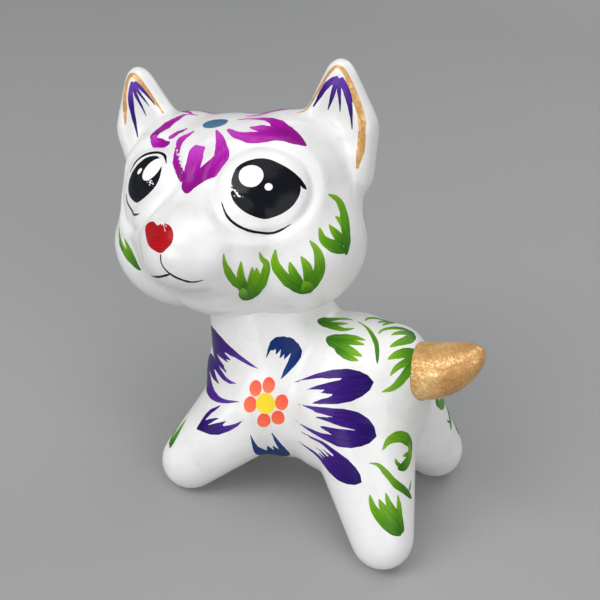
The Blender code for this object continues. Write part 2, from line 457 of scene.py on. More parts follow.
def gold_paint():
    """Bronze-gold paint with coarse metal flake in it. The flakes' colour also carries a painted sparkle."""
    made, tree, shader = new_material("gold_paint", (0.50, 0.32, 0.14), 0.42, metallic=0.3, coat=0.25)
    place = object_coordinates(tree)
    flakes = noise(tree, 1500.0, 2.0, 0.6, place)
    clouds = noise(tree, 120.0, 4.0, 0.6, place)
    tone = ramp(
        tree,
        clouds,
        [(0.34, (0.57, 0.30, 0.095)), (0.52, (0.72, 0.42, 0.15)), (0.68, (0.87, 0.56, 0.235))],
    )
    # Painted sparkle: the brightest flakes are coloured brighter than paint can be, standing for light glinting
    # off them; their lower roughness is real.
    flake_sparkle = ramp(tree, flakes, [(0.40, (0.70, 0.62, 0.52)), (0.56, grey(1.0)), (0.66, (1.7, 1.55, 1.3))])
    tree.links.new(mixed(tree, 0.6, tone, flake_sparkle, "MULTIPLY"), shader.inputs["Base Color"])
    rough = ramp(tree, flakes, [(0.4, grey(0.55)), (0.62, grey(0.26))])
    tree.links.new(rough, shader.inputs["Roughness"])
    add_bump(tree, shader, flakes, 0.00012, 0.7)
    return made


# ---- The carving ----
def tail_socket(radius, back, ahead):
    """A round cutter on the tail's axis."""
    bm = bmesh.new()
    bmesh.ops.create_cone(
        bm,
        cap_ends=True,
        segments=64,
        radius1=radius,
        radius2=radius,
        depth=back + ahead,
        matrix=Matrix.Translation((0, 0, (ahead - back) / 2)),
    )
    tool = new_object("tail_socket", mesh_from(bm, "tail_socket"))
    tool.matrix_world = Matrix.Translation(TAIL_SEAT) @ TAIL_TURN
    return tool


def turned_tail(material):
    """The bullet-shaped tail: flat on its seat, curving up a little to a round tip."""
    rings, segments = 40, 72
    verts = []
    faces = []
    for ring in range(rings):
        share = (ring / rings) ** 0.85 if ring else 0.0
        share = min(share, 0.998)
        radius = TAIL_RADIUS * (1.0 - share**TAIL_BLUNTNESS) ** 0.5
        bend = TAIL_BEND * share**2
        for segment in range(segments):
            angle = math.tau * segment / segments
            verts.append((bend + radius * math.cos(angle), radius * math.sin(angle), share * TAIL_LENGTH))
    for ring in range(rings - 1):
        for segment in range(segments):
            a = ring * segments + segment
            b = ring * segments + (segment + 1) % segments
            faces.append((a, b, b + segments, a + segments))
    faces.append(tuple(reversed(range(segments))))
    tip = len(verts)
    verts.append((TAIL_BEND, 0.0, TAIL_LENGTH))
    last = (rings - 1) * segments
    for segment in range(segments):
        faces.append((last + segment, last + (segment + 1) % segments, tip))
    mesh = bpy.data.meshes.new("tail_skin")
    mesh.from_pydata(verts, [], faces)
    lift = Matrix.Translation(TAIL_SEAT + TAIL_DIRECTION * TAIL_GAP)
    mesh.transform(Matrix.Scale(MM, 4) @ lift @ TAIL_TURN)
    mesh.shade_smooth()
    mesh.set_sharp_from_angle(angle=0.9)
    mesh.materials.append(material)
    tail = new_object("gold_tail", mesh)
    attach(tail, "tail")
    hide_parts("tail")


def build_body(material):
    """Torso and legs, cut from one blank. Returns the body's skin."""
    blank = body_blank()
    floor = half_space((0, 0, 0), (0, 0, 1), 300.0)
    boolean(blank, floor, "INTERSECT")
    skin = Skin(blank.data)
    torso = new_object("painted_torso", blank.data.copy())
    for name, side in LEGS.items():
        hip, foot = leg_line(side)
        direction = (foot - hip).normalized()
        box = half_space(hip.lerp(foot, LEG_JOINT_SHARE), direction)
        finished(cut_piece("painted_" + name, blank, box), skin, material, name)
        cut_away(torso, box)
    for radius, back, ahead in (TAIL_ROOM, PEG_HOLE):
        cut_away(torso, tail_socket(radius, back, ahead))
    for spare in (floor, blank):
        bpy.data.objects.remove(spare)
    return skin, torso


def build_head(material):
    """Head and ears, cut from one blank. Returns the head's skin and its uncut form."""
    blank = head_blank()
    carve_face(blank)
    blank.data.transform(HEAD_PLACE)
    blank.data.update()
    skin = Skin(blank.data)
    head = new_object("painted_head", blank.data.copy())
    for name, side in EARS.items():
        joint = HEAD_PLACE @ mirrored(EAR_JOINT, side)
        direction = HEAD_TURN.to_matrix() @ mirrored(EAR_DIRECTION, side)
        box = half_space(joint, direction)
        finished(cut_piece("painted_" + name, blank, box), skin, material, name)
        cut_away(head, box)
    return skin, head, blank


white = white_paint()
body_skin, torso = build_body(white)
head_skin, head, head_form = build_head(white)
cut_away(torso, head_form)
finished(torso, body_skin, white, "torso")
finished(head, head_skin, white, "head")
gold = gold_paint()
turned_tail(gold)
wood = bare_wood()
for name, node in frame["nodes"].items():
    if name.endswith("_peg"):
        node.data.materials.clear()
        node.data.materials.append(wood)

# ---- Paint: thin closed films that lie on the skins ----
FILM = 0.10  # how thick the paint lies
FILM_EDGE = 0.12  # over how much of its rim a film rises to that
FILM_SINK = 0.012  # how far the rim lies under the skin
FILM_ROOT = 0.15  # how deep the underside goes
STEP = 0.36  # the films' mesh size
FINEST_STEP = 0.15
LAP = 0.012  # how much higher each stroke of a leaf lies than the one before
CROWN_LAP = 0.015
HIGHLIGHT_LIFT = 0.10
# The painted glints, white streaks standing for light caught by the varnish, lie this high.
GLINT_LIFT = 0.11


def on_body(place):
    """The point of the body's skin nearest to this place, which is measured from the stance."""
    return body_skin.snap(STANCE_CENTRE + Vector(place))[0]


def on_head(place):
    """The head's skin in this direction from its centre: degrees to the kitten's left, degrees up."""
    turn, rise = (math.radians(angle) for angle in place)
    out = Vector((math.sin(turn) * math.cos(rise), -math.cos(turn) * math.cos(rise), math.sin(rise)))
    out = HEAD_TURN.to_matrix() @ out
    return head_skin.shot(HEAD_PLACE.translation + out * 90.0, -out)


def on_ear(place):
    """The front of an ear at this x and z of the head's own frame."""
    return head_skin.snap(HEAD_PLACE @ Vector((place[0], 2.5, place[1])))[0]


def between(table, value):
    """Reads a table of (value, result) pairs, straight between its rows."""
    if value <= table[0][0]:
        return table[0][1]
    for (low, first), (high, second) in zip(table, table[1:]):
        if value <= high:
            return first + (second - first) * (value - low) / (high - low)
    return table[-1][1]


def smooth_path(knots, steps=12):
    """A Catmull-Rom curve through the knots."""
    ends = [knots[0] * 2 - knots[1]] + knots + [knots[-1] * 2 - knots[-2]]
    points = []
    for a, b, c, d in zip(ends, ends[1:], ends[2:], ends[3:]):
        for step in range(steps):
            t = step / steps
            bend = (a * 2 - b * 5 + c * 4 - d) * t**2 + (b * 3 - a - c * 3 + d) * t**3
            points.append((b * 2 + (c - a) * t + bend) * 0.5)
    return points + [knots[-1]]


class Chart:
    """A strip of skin along a path. A place in it is (along, across), in millimetres."""

    def __init__(self, skin, knots):
        self.skin = skin
        snapped = [skin.snap(point)[0] for point in smooth_path(knots)]
        self.reach = [0.0]
        for a, b in zip(snapped, snapped[1:]):
            self.reach.append(self.reach[-1] + (b - a).length)
        self.length = self.reach[-1]
        self.points = snapped
        self.across = []
        for i, point in enumerate(snapped):
            ahead = snapped[min(i + 1, len(snapped) - 1)] - snapped[max(i - 1, 0)]
            self.across.append(skin.snap(point)[1].cross(ahead).normalized())

    def place(self, along, across):
        """The skin's point and normal there."""
        inside = min(self.length, max(0.0, along))
        i = 0
        while i < len(self.reach) - 2 and self.reach[i + 1] < inside:
            i += 1
        span = self.reach[i + 1] - self.reach[i]
        share = (along - self.reach[i]) / span if span else 0.0
        near = min(1.0, max(0.0, share))
        point = self.points[i].lerp(self.points[i + 1], near)
        point += (self.points[i + 1] - self.points[i]) * (share - near)
        side = self.across[i].lerp(self.across[i + 1], near).normalized()
        return self.skin.snap(point + side * across)


class Layer:
    """All the films of one paint, which become one piece."""

    def __init__(self):
        self.verts = []
        self.faces = []
        self.normals = []
        self.brush = []

    def film(self, chart, field, along, across, lift=0.0, shade=None):
        """Adds the patch of the chart where the field is above zero."""
        bm = bmesh.new()
        step = min(STEP, max(FINEST_STEP, (across[1] - across[0]) / 7.0))
        columns = math.ceil((along[1] - along[0]) / step)
        rows = math.ceil((across[1] - across[0]) / step)
        grid = []
        for i in range(columns + 1):
            s = along[0] + (along[1] - along[0]) * i / columns
            row = []
            for j in range(rows + 1):
                t = across[0] + (across[1] - across[0]) * j / rows
                row.append(bm.verts.new((s, t, field(s, t))))
            grid.append(row)
        for left, right in zip(grid, grid[1:]):
            for j in range(rows):
                bm.faces.new((left[j], right[j], right[j + 1]))
                bm.faces.new((left[j], right[j + 1], left[j + 1]))
        everything = bm.verts[:] + bm.edges[:] + bm.faces[:]
        bmesh.ops.bisect_plane(
            bm, geom=everything, dist=1e-5, plane_co=(0, 0, 0), plane_no=(0, 0, 1), clear_inner=True
        )
        loose = [vert for vert in bm.verts if not vert.link_faces]
        bmesh.ops.delete(bm, geom=loose, context="VERTS")
        bm.verts.index_update()
        first = len(self.verts)
        count = len(bm.verts)
        offset = len(self.verts) * 0.37 % 91.0
        below = []
        for vert in bm.verts:
            s, t, depth = vert.co
            point, normal = chart.place(s, t)
            thickness = lift + FILM * smoothstep(0.0, FILM_EDGE, depth) - FILM_SINK
            self.verts.append(point + normal * thickness)
            self.normals.append(normal)
            below.append((point - normal * FILM_ROOT, -normal))
            tone = shade(s, t) if shade else 0.5
            self.brush.append((s + offset, t, tone))
        for point, normal in below:
            self.verts.append(point)
            self.normals.append(normal)
        self.brush.extend(self.brush[first : first + count])
        for face in bm.faces:
            corners = [first + vert.index for vert in face.verts]
            self.faces.append(tuple(corners))
            self.faces.append(tuple(corner + count for corner in reversed(corners)))
            for loop in face.loops:
                if len(loop.edge.link_faces) == 1:
                    a = first + loop.vert.index
                    b = first + loop.link_loop_next.vert.index
                    self.faces.append((b, a, a + count, b + count))
        bm.free()

    def build(self, name, material, slot):
        mesh = bpy.data.meshes.new(name)
        mesh.from_pydata([vert * MM for vert in self.verts], [], self.faces)
        attribute = mesh.attributes.new("brush", "FLOAT_VECTOR", "POINT")
        attribute.data.foreach_set("vector", [value for row in self.brush for value in row])
        mesh.shade_smooth()
        mesh.normals_split_custom_set_from_vertices(self.normals)
        mesh.materials.append(material)
        piece = new_object(name, mesh)
        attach(piece, FIGURE)


# Half widths along a stroke, as shares of the greatest: (share of the length, share of the width).
PETAL = [(0, 0.42), (0.2, 0.66), (0.4, 0.88), (0.6, 1), (0.75, 0.94), (0.87, 0.7), (0.95, 0.42), (1, 0)]
POINTED = [(0, 0.5), (0.2, 0.85), (0.4, 1), (0.6, 0.98), (0.75, 0.74), (0.9, 0.3), (1, 0)]
ROUND = [(0, 0.5), (0.25, 0.72), (0.5, 0.94), (0.7, 1), (0.85, 0.86), (0.95, 0.5), (1, 0)]

# Where the colour starts on a petal, from its right rim (-1) to its left rim (1): shares of its length.
HOLLOWS = {
    "fan": [(-1, 0.3), (-0.7, 0.42), (-0.45, 0.6), (-0.25, 0.4), (-0.1, 0.5), (0.05, 0.28), (0.22, 0.42)]
    + [(0.38, 0.7), (0.55, 0.5), (0.8, 0.3), (1, 0.02)],
    "split": [(-1, 0), (-0.7, 0.3), (-0.5, 0.52), (-0.3, 0.36), (-0.15, 0.4), (0, 0.74), (0.25, 0.3)]
    + [(0.38, 0.36), (0.5, 0.48), (0.6, 0.28), (0.75, 0.22), (1, 0)],
    "rimmed": [(-1, 0), (-0.7, 0.22), (-0.5, 0.47), (-0.35, 0.36), (-0.2, 0.5), (0, 0.33), (0.15, 0.55)]
    + [(0.3, 0.42), (0.5, 0.62), (0.7, 0.3), (1, 0.02)],
    "swept": [(-1, 0), (-0.7, 0.12), (-0.5, 0.35), (-0.25, 0.52), (-0.1, 0.38), (0.1, 0.46), (0.25, 0.4)]
    + [(0.5, 0.66), (0.7, 0.45), (1, 0.4)],
    "forked": [(-1, 0.05), (-0.7, 0.2), (-0.45, 0.66), (-0.2, 0.42), (0, 0.5), (0.2, 0.76), (0.4, 0.4)]
    + [(0.6, 0.28), (0.8, 0.1), (1, 0)],
    "hooked": [(-1, 0.35), (-0.75, 0.5), (-0.5, 0.78), (-0.3, 0.6), (-0.15, 0.42), (0.05, 0.72)]
    + [(0.2, 0.34), (0.45, 0.5), (0.65, 0.3), (0.85, 0.1), (1, 0)],
    "comb": [(-1, 0), (-0.8, 0.1), (-0.55, 0.3), (-0.35, 0.72), (-0.2, 0.45), (-0.05, 0.62), (0.1, 0.42)]
    + [(0.25, 0.68), (0.4, 0.45), (0.55, 0.62), (0.8, 0.5), (1, 0.25)],
    "crest": [(-1, 0), (-0.8, 0.2), (-0.5, 0.45), (-0.2, 0.6), (0, 0.42), (0.15, 0.65), (0.3, 0.45)]
    + [(0.5, 0.62), (0.7, 0.3), (1, 0.1)],
    "curled": [(-1, 0), (-0.75, 0.2), (-0.5, 0.45), (-0.2, 0.6), (0.1, 0.82), (0.4, 0.78), (0.7, 0.5)]
    + [(1, 0.3)],
}


def loading(chart):
    """The tone along a stroke: 0 at its dry end, 1 where the brush was set down full."""
    return lambda s, t: min(1.0, max(0.0, s / chart.length))


def petal(layer, chart, width, hollow, outline, seed):
    """A petal or leaf along the chart, painted from its tip back to the ragged edge of its hollow."""
    table = HOLLOWS[hollow]

    def field(s, t):
        share = s / chart.length
        half = width * between(outline, share)
        half *= 1.0 + 0.05 * wobble.noise((share * 3.0, seed, t * 0.05))
        if share <= 0.0 or share >= 1.0 or half < 0.05:
            return -0.2
        v = t / half
        start = between(table, v) + 0.06 * wobble.noise((v * 7.0, seed * 3.1, share * 2.0))
        return min(half - abs(t), (share - start) * chart.length * 0.5, (1.0 - share) * chart.length)

    span = width * 1.08
    layer.film(chart, field, (-0.2, chart.length + 0.1), (-span, span), shade=loading(chart))


def line(layer, chart, width, table, seed=0.0, lift=0.0):
    """A brush line along the chart. The table holds half widths, as shares of the greatest."""

    def field(s, t):
        share = s / chart.length
        if share <= 0.0 or share >= 1.0:
            return -0.2
        half = width * between(table, share) * (1.0 + 0.12 * wobble.noise((s * 0.5, seed, 0.0)))
        return min(half - abs(t), s + 0.01, chart.length - s + 0.01)

    span = width * 1.2
    layer.film(chart, field, (-0.1, chart.length + 0.1), (-span, span), lift, loading(chart))


def stroke(layer, knots, seed, lift):
    """A brush stroke on the head, whose half width changes from knot to knot."""
    places = [on_head(knot[:2]) for knot in knots]
    reach = [0.0]
    for first, second in zip(places, places[1:]):
        reach.append(reach[-1] + (second - first).length)
    widest = max(knot[2] for knot in knots)
    table = [(along / reach[-1], knot[2] / widest) for along, knot in zip(reach, knots)]
    line(layer, head_chart(*[knot[:2] for knot in knots]), widest, table, seed, lift)


def disc(layer, chart, centre, radii, seed, lift=0.0):
    """An oval of paint on the chart, with a hand-made edge."""
    reach = max(radii) * 1.1

    def field(s, t):
        x = (s - centre[0]) / radii[0]
        y = (t - centre[1]) / radii[1]
        ring = math.hypot(x, y)
        ragged = 0.03 * wobble.noise((1.4 * x / max(ring, 0.01), 1.4 * y / max(ring, 0.01), seed))
        return (1.0 + ragged - ring) * min(radii)

    def shade(s, t):
        return 0.5 + 0.4 * (t - centre[1]) / radii[1]

    along = (centre[0] - reach, centre[0] + reach)
    layer.film(chart, field, along, (centre[1] - reach, centre[1] + reach), lift, shade)


def patch(layer, centre, outline):
    """Fills a closed outline on the head. The outline runs round the centre, in head degrees."""
    turn, rise = centre
    chart = head_chart((turn - 12, rise), centre, (turn + 12, rise))
    middle = chart.length / 2
    point, normal = chart.place(middle, 0.0)
    ahead = (chart.place(middle + 1.0, 0.0)[0] - point).normalized()
    side = normal.cross(ahead)
    knots = [on_head(place) for place in outline]
    loop = smooth_path(knots[-2:] + knots + knots[:2], 8)[16:-16]
    polar = []
    for place in loop:
        x, y = (place - point).dot(ahead), (place - point).dot(side)
        polar.append((math.atan2(y, x), math.hypot(x, y)))
    polar.sort()
    first, last = polar[0], polar[-1]
    polar = [(last[0] - math.tau, last[1]), *polar, (first[0] + math.tau, first[1])]
    reach = max(radius for angle, radius in polar) + 0.3

    def field(s, t):
        radius = between(polar, math.atan2(t, s - middle))
        return radius - math.hypot(s - middle, t)

    layer.film(chart, field, (middle - reach, middle + reach), (-reach, reach))


def glint_streak(layer, chart, width, seed):
    """A broken white streak along the chart: a painted glint, light caught by the varnish."""

    def field(s, t):
        rough = wobble.noise((s * 1.1, t * 2.6, seed)) + 0.5 * wobble.noise((s * 3.1, t * 5.0, seed + 4.0))
        ends = min(s, chart.length - s) / chart.length
        return width * (rough * 0.9 + ends * 0.8 - 0.22) - 0.35 * abs(t)

    layer.film(chart, field, (0.0, chart.length), (-width, width), GLINT_LIFT)


def brushed_paint(name, tones, roughness):
    """Paint laid on with a brush. tones run from a stroke's dry end to its loaded tip."""
    made, tree, shader = new_material(name, tones[0], roughness, coat=0.04, specular=0.13)
    brush = tree.nodes.new("ShaderNodeAttribute")
    brush.attribute_name = "brush"
    stretch = tree.nodes.new("ShaderNodeMapping")
    stretch.inputs["Scale"].default_value = (0.16, 2.4, 0.0)
    tree.links.new(brush.outputs["Vector"], stretch.inputs["Vector"])
    streaks = noise(tree, 1.0, 3.0, 0.6, stretch.outputs["Vector"])
    parts = tree.nodes.new("ShaderNodeSeparateXYZ")
    tree.links.new(brush.outputs["Vector"], parts.inputs["Vector"])
    total = tree.nodes.new("ShaderNodeMath")
    total.operation = "MULTIPLY_ADD"
    total.inputs[1].default_value = 1.1
    tree.links.new(streaks, total.inputs[0])
    tree.links.new(parts.outputs["Z"], total.inputs[2])
    scaled = tree.nodes.new("ShaderNodeMath")
    scaled.operation = "MULTIPLY"
    scaled.inputs[1].default_value = 0.5
    tree.links.new(total.outputs["Value"], scaled.inputs[0])
    places = (0.28, 0.52, 0.74)
    tree.links.new(ramp(tree, scaled.outputs["Value"], list(zip(places, tones))), shader.inputs["Base Color"])
    add_bump(tree, shader, streaks, 0.00005, 0.5)
    return made


def body_chart(*places):
    return Chart(body_skin, [on_body(place) for place in places])


def head_chart(*places):
    return Chart(head_skin, [on_head(place) for place in places])


def ear_chart(*places):
    return Chart(head_skin, [on_ear(place) for place in places])


# The flank's flower: (path from its middle, half width, hollow, outline), places from the stance.
PURPLE_PETALS = [
    (((-12.6, -20, 41.8), (-24, -17.6, 42.4), (-35, -8, 43.5)), 4.7, "swept", PETAL),
    (((-15.8, -21.8, 36.2), (-24.8, -19.8, 33.8), (-36, -9, 34)), 4.7, "forked", PETAL),
    (((-15, -23.7, 32.1), (-27.6, -26.1, 21.8)), 4, "hooked", POINTED),
    (((-5.4, -19.9, 39.8), (16.9, -13.4, 49)), 4.7, "fan", PETAL),
    (((-1.8, -20.4, 36), (21.8, -18.9, 36.6)), 5.3, "split", PETAL),
    (((-1.1, -20.8, 29.6), (22.2, -25.6, 25.8)), 3.9, "rimmed", PETAL),
]
BLUE_PETALS = [
    (((-9.9, -19.2, 43), (-7.8, -13, 53.1)), 4.7, "comb", ROUND),
    (((-10.6, -22.3, 28.2), (-7.4, -17.5, 18.4), (-5.8, -13, 14.6)), 4.9, "crest", ROUND),
]
FLOWER_PLACE = (-9.6, -21.8, 35.8)
FLOWER_DOTS = [(140, 5.0), (94, 5.4), (22, 4.6), (-38, 5.2), (-84, 5.2), (202, 4.4)]  # degrees, radius
DOT_RADII = (1.85, 2.35)
FLOWER_EYE_RADII = (2.75, 3.1)


def across_flower(place, side):
    return (place[0], place[1] * side, place[2])


def paint_flower(side, purple, blue, orange, yellow):
    """The flower on one flank. side is 1 for the left flank and -1 for its partner on the right."""
    for layer, petals in ((purple, PURPLE_PETALS), (blue, BLUE_PETALS)):
        for i, (path, width, hollow, outline) in enumerate(petals):
            chart = body_chart(*[across_flower(place, side) for place in path])
            petal(layer, chart, width, hollow, outline, i * 1.7 + side)
    x, y, z = across_flower(FLOWER_PLACE, side)
    chart = body_chart((x - 9.0 * side, y, z), (x, y, z), (x + 9.0 * side, y, z))
    middle = chart.length / 2
    for i, (angle, radius) in enumerate(FLOWER_DOTS):
        turn = math.radians(angle)
        place = (middle + radius * math.cos(turn), radius * math.sin(turn))
        disc(orange, chart, place, DOT_RADII, seed=i + side)
    disc(yellow, chart, (middle, 0.0), FLOWER_EYE_RADII, seed=side, lift=0.05)


def paint_body(purple, blue, orange, yellow, green):
    for side in (1, -1):
        paint_flower(side, purple, blue, orange, yellow)
        paint_greens(side, green)


# Green leaves are bunches of strokes, each drawn towards the leaf's tip: (half width, its path).
BRANCH = [
    (0.6, (4.4, 0.8, 56.2), (9, -1.3, 56.4), (13, -5.5, 56.1), (14.8, -8.3, 55.1), (16.2, -10.9, 53.1)),
    (0.7, (4.5, 0.5, 56.3), (0, 0, 55.4), (-3.3, -3.5, 55.6), (-4.2, -5.3, 56)),
    (0.95, (6, -3, 56.2), (3.3, -4.6, 55.6), (-1.1, -3.9, 54.8), (-4.2, -5.3, 56)),
    (0.8, (3.6, -1.8, 56.1), (0.3, -2.7, 55.3), (-3, -4, 55.4)),
    (1, (10.5, -5.9, 55.6), (7.4, -6.3, 55.5), (3.9, -7.4, 54.9), (0, -8.3, 53.7)),
    (0.9, (10.9, -7.3, 55.1), (7.8, -7.8, 54.9), (3, -8.7, 54.2)),
    (1.5, (11.7, -10.4, 53.4), (8.3, -10.3, 53.7), (4.8, -10, 53.8), (0.2, -8.4, 53.7)),
    (1, (11.3, -11.7, 52.6), (8.3, -11.9, 52.8), (4, -10.8, 53.2)),
    (0.7, (6.9, 1.6, 56.3), (7.2, 4.6, 56), (9.6, 7.4, 55.2), (13.6, 7.8, 55)),
    (0.7, (10.3, 3, 56.3), (11, 5.4, 56), (13.4, 7.6, 55)),
    (0.8, (11.9, 1.8, 56.7), (12.6, 3.9, 56.5), (13.8, 7.4, 55.2)),
    (0.8, (12.6, -3, 56.7), (13.3, -0.3, 57.1), (16.7, 2.5, 57.4), (20.8, 4.3, 56.1)),
    (0.9, (15.9, -2.3, 57.4), (17.9, 0.5, 57.4), (20.7, 3.3, 56.4)),
    (1.2, (17.3, -6.3, 56.2), (18.6, -4.2, 56.8), (20.5, -0.5, 56.8), (20.9, 3.9, 56.1)),
    (1.3, (18.2, -9.2, 54.4), (19.9, -7.1, 55.3), (22, -4.4, 55.4), (23.7, -1.8, 54.9)),
    (0.9, (20.2, -11.5, 51), (21.2, -9.3, 53), (22.8, -6.4, 54), (23.8, -2.4, 54.6)),
    (1.3, (19.6, -13.8, 47.1), (22.1, -11.6, 48.5), (23.7, -8.4, 51.4), (24.2, -5, 53.3), (24, -2.2, 54.5)),
]
LEG_LEAVES = [
    (1.5, (24.5, -20.1, 33.9), (25.2, -17.6, 35.9), (27.2, -14.2, 35.8))
    + ((29.4, -11.7, 32.9), (30.6, -13, 29.8)),
    (1.3, (28.9, -11.9, 33.6), (30.6, -13, 30.5), (30.5, -16.3, 29), (29.1, -18.8, 29.1)),
    (0.6, (29, -16, 31.2), (29.8, -14.4, 31), (30.4, -13, 30.6)),
    (0.5, (27.9, -18.4, 31.6), (28.6, -18.3, 30.2), (29.7, -17.7, 29.3)),
    (0.95, (22.4, -23.2, 30.9), (24.7, -22.2, 30.6), (27.2, -21.8, 28.7), (30.1, -21.1, 25.9))
    + ((32.5, -19.4, 23.4), (34.6, -17.4, 20)),
    (1.2, (25, -26.2, 23.6), (26.8, -26.9, 20.6), (29.7, -27.3, 18))
    + ((32.9, -26.9, 15.6), (35.6, -25.5, 13.8)),
    (1.5, (27.6, -25.7, 22.8), (30.1, -26, 19.8), (33, -25.5, 17.2), (35.6, -25.2, 13.9)),
    (1.1, (28.6, -24, 24.4), (30.5, -24.6, 21.3), (32.7, -24.5, 18.8), (35.4, -24.8, 14.6)),
    (0.9, (31.3, -21.7, 23.4), (32.8, -22.8, 20.4), (33.7, -23.8, 18), (35.8, -24.6, 14.1)),
    (0.4, (32.7, -15.6, 24.4), (33, -16.6, 23.2), (33.4, -17.9, 22.3)),
]
CHEST_LEAVES = [
    (1, (-33, -22.5, 21), (-34.2, -24.8, 17), (-34.8, -27.4, 12.6)),
    (0.8, (-35.4, -19.6, 19.6), (-36.4, -22, 16.2), (-35.4, -26.6, 12.8)),
    (0.6, (-32.5, -14, 32), (-34.5, -13.6, 29), (-36.4, -14.6, 25.8)),
    (0.5, (-35.5, -9.6, 30.6), (-36.3, -11.6, 28.6), (-36.6, -14.4, 26)),
]
SPREAD = 1.12  # how much a wet stroke spreads
STROKE = [(0, 0.08), (0.12, 0.42), (0.3, 0.78), (0.55, 1), (0.8, 0.9), (0.93, 0.6), (1, 0.2)]


def bunch(layer, chart_of, strokes, seed=0.0):
    """A leaf's strokes, laid over each other."""
    for i, (width, *path) in enumerate(strokes):
        line(layer, chart_of(*path), width * SPREAD, STROKE, seed + i * 1.9, LAP * (i % 6))


def paint_greens(side, green):
    """The leaves of one flank: over the rump on the left one, and on the legs of both."""
    if side == 1:
        bunch(green, body_chart, BRANCH)
    for strokes in (LEG_LEAVES, CHEST_LEAVES):
        for width, *path in strokes:
            chart = body_chart(*[across_flower(place, side) for place in path])
            line(green, chart, width * SPREAD, STROKE, width * 9.0 + side, LAP * (len(green.verts) % 6))


# ---- The head's paint: (degrees to its left, degrees up) from its centre ----
CHEEK_LEAVES = [
    (1.15, (22, -2), (22, -8), (24, -17), (28, -25), (28, -36)),
    (1.0, (29, -8), (28, -16), (29, -27)),
    (1.0, (34, -12), (33, -19), (31, -30)),
    (1.2, (38, -5), (39, -9), (41, -13), (38, -22), (33, -32), (29, -37)),
    (1.5, (36, -13), (35, -21), (30, -34)),
    (1.3, (28, -24), (28, -30), (28.5, -37)),
    (1.45, (46, -5), (45, -12), (48, -18), (54, -24), (58, -27)),
    (1.2, (51, -11), (52, -16), (56, -24)),
    (1.3, (56, -9), (58, -15), (59, -24)),
    (1.5, (61, -3), (63, -8), (63, -15), (61, -21), (58, -27)),
    (1.7, (56, -20), (58, -23), (59, -27)),
    (1.35, (76, 14), (81, 10), (82, 4), (79, -3), (76, -12)),
    (1.3, (77, 4), (79, -1), (77, -8)),
    (1.2, (72, 1.5), (73, -2), (76, -8)),
    (1.4, (67, 1.5), (67, -4), (71, -7.5), (76, -10.5)),
    (1.2, (-57, -5), (-52, -10), (-46, -14), (-40, -19)),
    (1.0, (-52, -4), (-48, -9), (-41, -17)),
    (0.8, (-60, 0), (-57, -6), (-52, -11)),
]
BACK_LEAF = [
    (1.3, (-8, 10), (-9, 3), (-6, -6), (0, -12)),
    (1.2, (-2, 7), (-3, 0), (0, -11)),
    (1.2, (3, 8), (4, 0), (1, -11)),
    (1.3, (9, 9), (10, 2), (6, -6), (0, -12)),
]
BACK_PLACES = [(-92, -4), (-122, -12), (112, -8), (142, -12), (180, 14)]
CROWN_PETALS = [
    (((-112, 80), (-118, 52)), 4.4, "curled", PETAL),
    (((112, 82), (120, 54)), 4.4, "rimmed", PETAL),
    (((175, 82), (178, 50)), 5.0, "comb", PETAL),
]
# Each crown stroke: its places on the head, and its half width in millimetres at each.
CROWN_STROKES = [
    [(-4, 58.5, 1.6), (-5, 53, 2.3), (-3, 46, 2.3), (-4, 36, 2.2), (-3, 30, 1.6), (-1, 26.5, 0.5)],
    [(9, 71, 0.2), (19, 62, 1.2), (22, 51, 1.9), (19, 46, 2.3)]
    + [(13, 42, 2.3), (4, 37, 2.1), (-1, 32, 1.6), (-2, 28, 1.0)],
    [(-32, 68, 0.3), (-34, 60, 1.3), (-31, 55, 1.3), (-27, 49, 1.5), (-17, 41, 1.6), (-8, 35, 1.1)],
    [(-102, 70, 0.2), (-95, 64, 0.5), (-81, 61, 1.3), (-72, 56, 1.9), (-66, 51, 1.6), (-62, 48, 1.0)],
    [(-65, 50, 0.8), (-60, 48, 1.6), (-55, 50, 1.5), (-48, 54, 0.3)],
    [(-53, 55, 0.5), (-50, 58, 1.0), (-52, 62, 0.8), (-52, 67, 0.2)],
    [(29, 70, 0.4), (41, 61.5, 1.7), (53, 55.5, 1.9), (62, 51, 2.0)]
    + [(69, 46, 2.1), (72, 41.5, 1.6), (75, 36.5, 0.3)],
    [(58, 78, 0.2), (80, 72, 0.4), (78, 62, 0.8), (75, 54, 1.8), (73, 48, 2.2), (74, 42, 1.5), (75, 37, 0.3)],
    [(59, 65, 0.3), (63, 60, 1.2), (66, 54, 1.8), (69, 49, 2.0), (71, 45, 1.5)],
]
THIN_LINE = [(0, 0.3), (0.15, 0.8), (0.5, 1), (0.85, 0.8), (1, 0.2)]
LASH_LINE = [(0, 0.1), (0.15, 0.45), (0.5, 0.8), (0.85, 1), (0.95, 0.8), (1, 0.1)]
MOUTH_LINE = [(0, 0.5), (0.3, 0.62), (0.45, 0.9), (0.7, 1), (0.9, 0.6), (1, 0.15)]


def paint_crown(magenta, grey_blue):
    for i, (path, width, hollow, outline) in enumerate(CROWN_PETALS):
        petal(magenta, head_chart(*path), width, hollow, outline, i * 1.3)
    for i, knots in enumerate(CROWN_STROKES):
        stroke(magenta, knots, i * 2.1, CROWN_LAP * (i % 3))
    chart = head_chart((-38, 75), (-5, 78), (34, 79))
    disc(grey_blue, chart, (chart.length / 2, 0.0), (3.6, 2.5), seed=2.0)


NEAR_IRIS = [(27, 27), (30, 37), (40, 42), (51, 39.5), (59, 32), (64, 23), (62.5, 17), (56, 11.5), (46, 9)]
NEAR_IRIS += [(35, 13), (29, 19)]
FAR_IRIS = [(-46, 44), (-36, 43.5), (-29, 37), (-28.5, 28), (-34, 20), (-44, 15.5), (-52, 18.5), (-56, 26)]
FAR_IRIS += [(-54, 36)]


